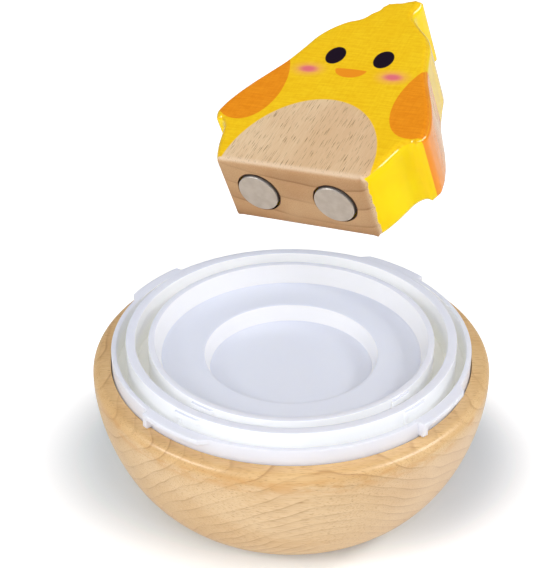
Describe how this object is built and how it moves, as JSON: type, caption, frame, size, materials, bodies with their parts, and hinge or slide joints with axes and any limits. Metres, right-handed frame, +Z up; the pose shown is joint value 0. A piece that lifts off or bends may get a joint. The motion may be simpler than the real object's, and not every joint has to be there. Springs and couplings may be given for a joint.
{
  "type": "stacking toy",
  "caption": "Turned wooden bowl with a white tray of concentric ring walls and a round magnetic recess, and a shaped wooden chick that stands in it, held above.",
  "frame": {"origin": "centre of the bowl's flat foot", "axes": "+Z up out of the tray, the viewer on the -Y side, +X to the viewer's right"},
  "size_m": [0.1216, 0.1298, 0.1656],
  "materials": {
    "beech": "pale beech, finely sanded, clear satin lacquer",
    "white_plastic": "moulded white plastic, satin gloss",
    "nickel_plate": "nickel plate over a magnet",
    "cover_plastic": "moulded white plastic, fine matt",
    "zinc_steel": "zinc-plated steel",
    "painted_beech": "beech block: printed front, glossy yellow paint on the sides, bare at the belly and foot",
    "disc_steel": "turned steel, satin, with fine scratches"
  },
  "bodies": {
    "base": {"wood_bowl": "beech", "ring_tray": "white_plastic", "base_magnet_left": "nickel_plate", "base_magnet_right": "nickel_plate", "magnet_cover": "cover_plastic", "cover_screw_a": "zinc_steel", "cover_screw_b": "zinc_steel", "tray_screw_a": "zinc_steel", "tray_screw_b": "zinc_steel", "tray_screw_c": "zinc_steel", "tray_screw_d": "zinc_steel"},
    "chick": {"chick_body": "painted_beech", "chick_disc_left": "disc_steel", "chick_disc_right": "disc_steel"}
  },
  "joints": [
    {"name": "chick_swing", "type": "hinge", "parent": "base", "child": "chick", "pos_m": [0.04829, -0.00105, 0.11019], "axis": [-0.5685, 0.6775, 0.4667], "range_deg": [-82.76, 0]}
  ]
}
